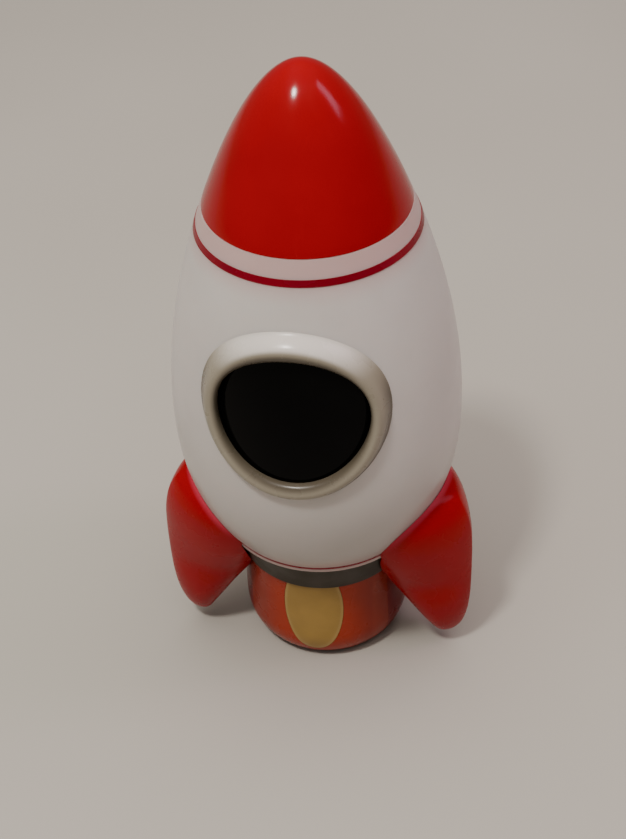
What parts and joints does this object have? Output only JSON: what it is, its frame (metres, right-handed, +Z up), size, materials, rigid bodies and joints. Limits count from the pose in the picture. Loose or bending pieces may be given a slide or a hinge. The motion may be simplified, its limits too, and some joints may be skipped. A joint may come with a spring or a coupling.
{
  "type": "rocket night light",
  "caption": "Battery night light shaped like a toy rocket, with a translucent body, round porthole, red nose and fins, and a flame-painted base.",
  "frame": {"origin": "on the rocket's axis, in the plane of the foot it stands on", "axes": "+Z up through the nose, -Y towards the porthole, +X towards the right-hand fin's side"},
  "size_m": [0.087, 0.0861, 0.18],
  "materials": {
    "red_gloss": "glossy",
    "red_satin": "satin gloss",
    "trim_red": "glossy paint",
    "milky_shell": "satin, translucent",
    "bezel_grey": "satin",
    "smoked_window": "glossy, near black",
    "inner_black": "matte",
    "collar_grey": "satin",
    "base_red": "satin",
    "flame_orange": "satin paint",
    "flame_yellow": "satin paint",
    "door_red": "matte",
    "box_grey": "matte",
    "cell_sleeve": "glossy sleeve",
    "contact_steel": "plated",
    "board_green": "satin",
    "led_clear": "clear epoxy",
    "lead_red": "soft sleeve",
    "lead_black": "soft sleeve",
    "screw_steel": "zinc plated"
  },
  "bodies": {
    "rocket": {"base_plate": "base_red", "base_plate_screws": "screw_steel", "batteries": "cell_sleeve", "battery_box": "box_grey", "battery_box_screws": "screw_steel", "battery_springs": "contact_steel", "board_components": "inner_black", "board_screws": "screw_steel", "body_shell": "milky_shell", "collar_ring": "collar_grey", "fin_screws": "screw_steel", "flame_base": "base_red", "led_board": "board_green", "leds": "led_clear", "left_fin": "red_satin", "lens_retainer": "inner_black", "mouth_trim_ring": "trim_red", "neck_trim_ring": "trim_red", "nose_cap": "red_gloss", "orange_flames": "flame_orange", "porthole_bezel": "bezel_grey", "porthole_lens": "smoked_window", "rear_fin": "red_satin", "right_fin": "red_satin", "switch_body": "inner_black", "switch_lead_black": "lead_black", "switch_lead_red": "lead_red", "yellow_flames": "flame_yellow"},
    "battery_door": {"battery_door": "door_red", "door_contacts": "contact_steel"},
    "door_screw": {"door_screw": "screw_steel"},
    "power_switch": {"switch_knob": "inner_black"}
  },
  "joints": [
    {"name": "battery_door_lift", "type": "slide", "parent": "rocket", "child": "battery_door", "axis": [0, 0, -1], "range_m": [0, 0.012]},
    {"name": "door_screw_turn", "type": "hinge", "parent": "battery_door", "child": "door_screw", "pos_m": [0, 0.0148, 0.0025], "axis": [0, 0, 1], "continuous": true},
    {"name": "power_switch_slide", "type": "slide", "parent": "rocket", "child": "power_switch", "axis": [1, 0, 0], "range_m": [0, 0.003]}
  ]
}
